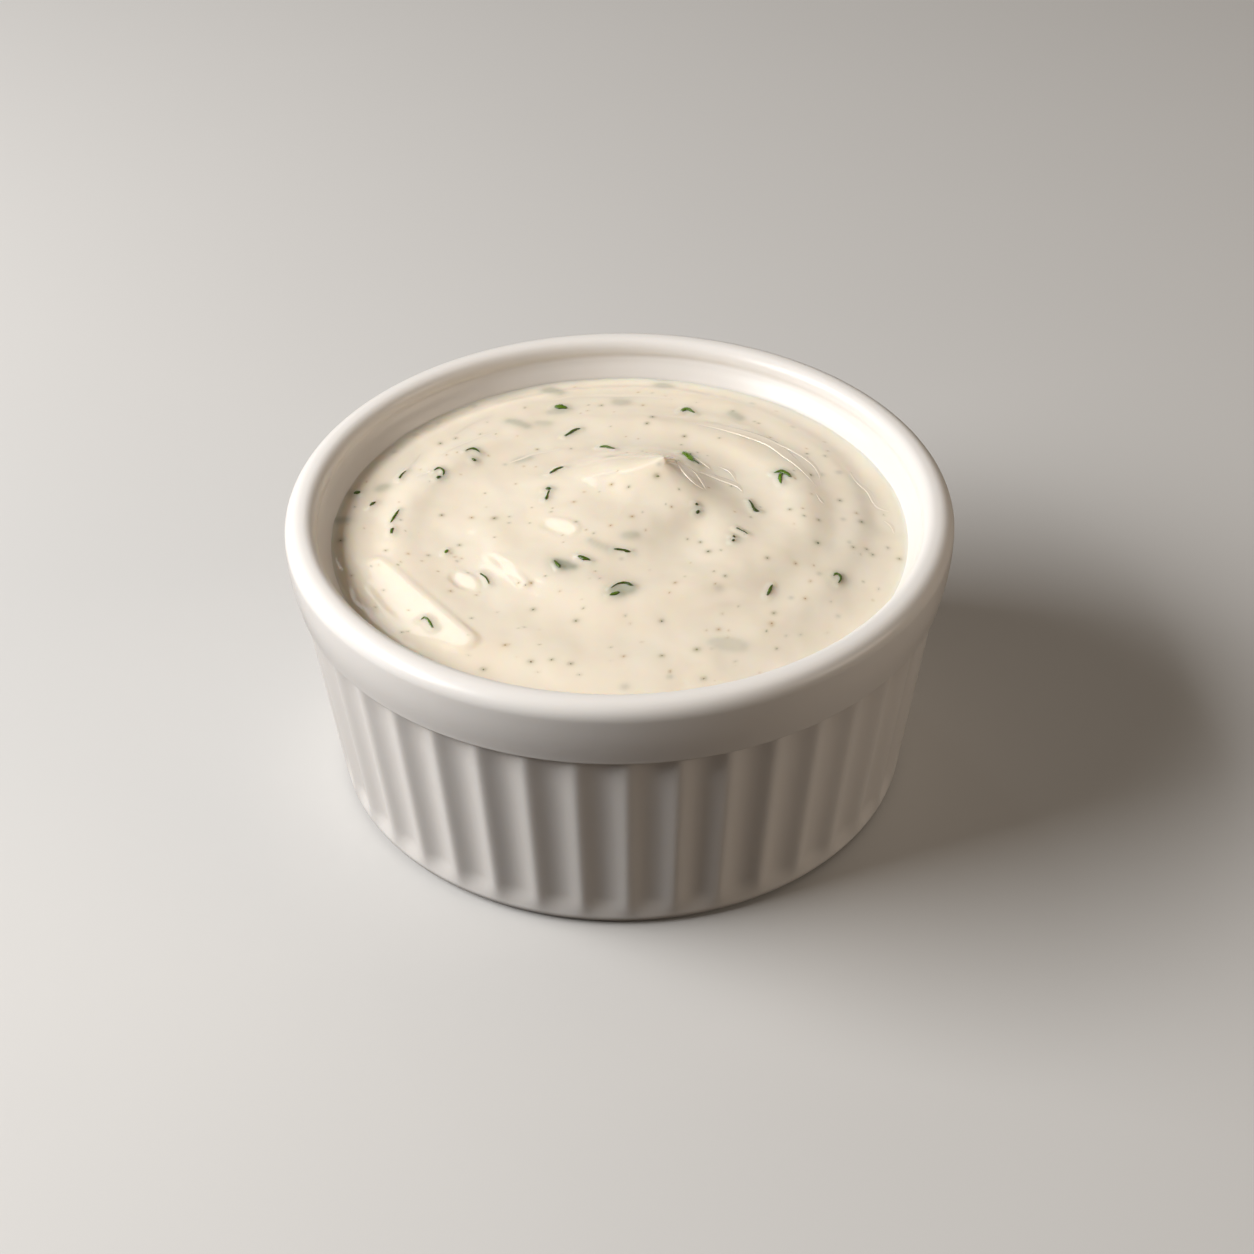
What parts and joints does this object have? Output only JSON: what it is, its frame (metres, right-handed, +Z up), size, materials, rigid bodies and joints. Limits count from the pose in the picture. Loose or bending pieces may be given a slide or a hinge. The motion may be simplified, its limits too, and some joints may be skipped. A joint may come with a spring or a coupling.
{
  "type": "ranch dressing in a ramekin",
  "caption": "Creamy ranch dressing with herb flakes, stirred into a swirl with a small peak, filling a white fluted porcelain ramekin with a smooth rolled rim.",
  "frame": {"origin": "under the middle of the foot, on the surface that the dish stands on", "axes": "+Z up; -Y towards the side shown in the picture and +X to its right"},
  "size_m": [0.089, 0.089, 0.0406],
  "materials": {
    "porcelain": "glossy warm white glaze",
    "dressing": "smooth glossy cream, with dark green herb flakes and small brown specks",
    "herb": "moist chopped green leaf",
    "spice": "ground pepper and onion, dark brown to tan"
  },
  "bodies": {
    "root": {"ramekin": "porcelain", "dressing": "dressing"}
  },
  "joints": []
}
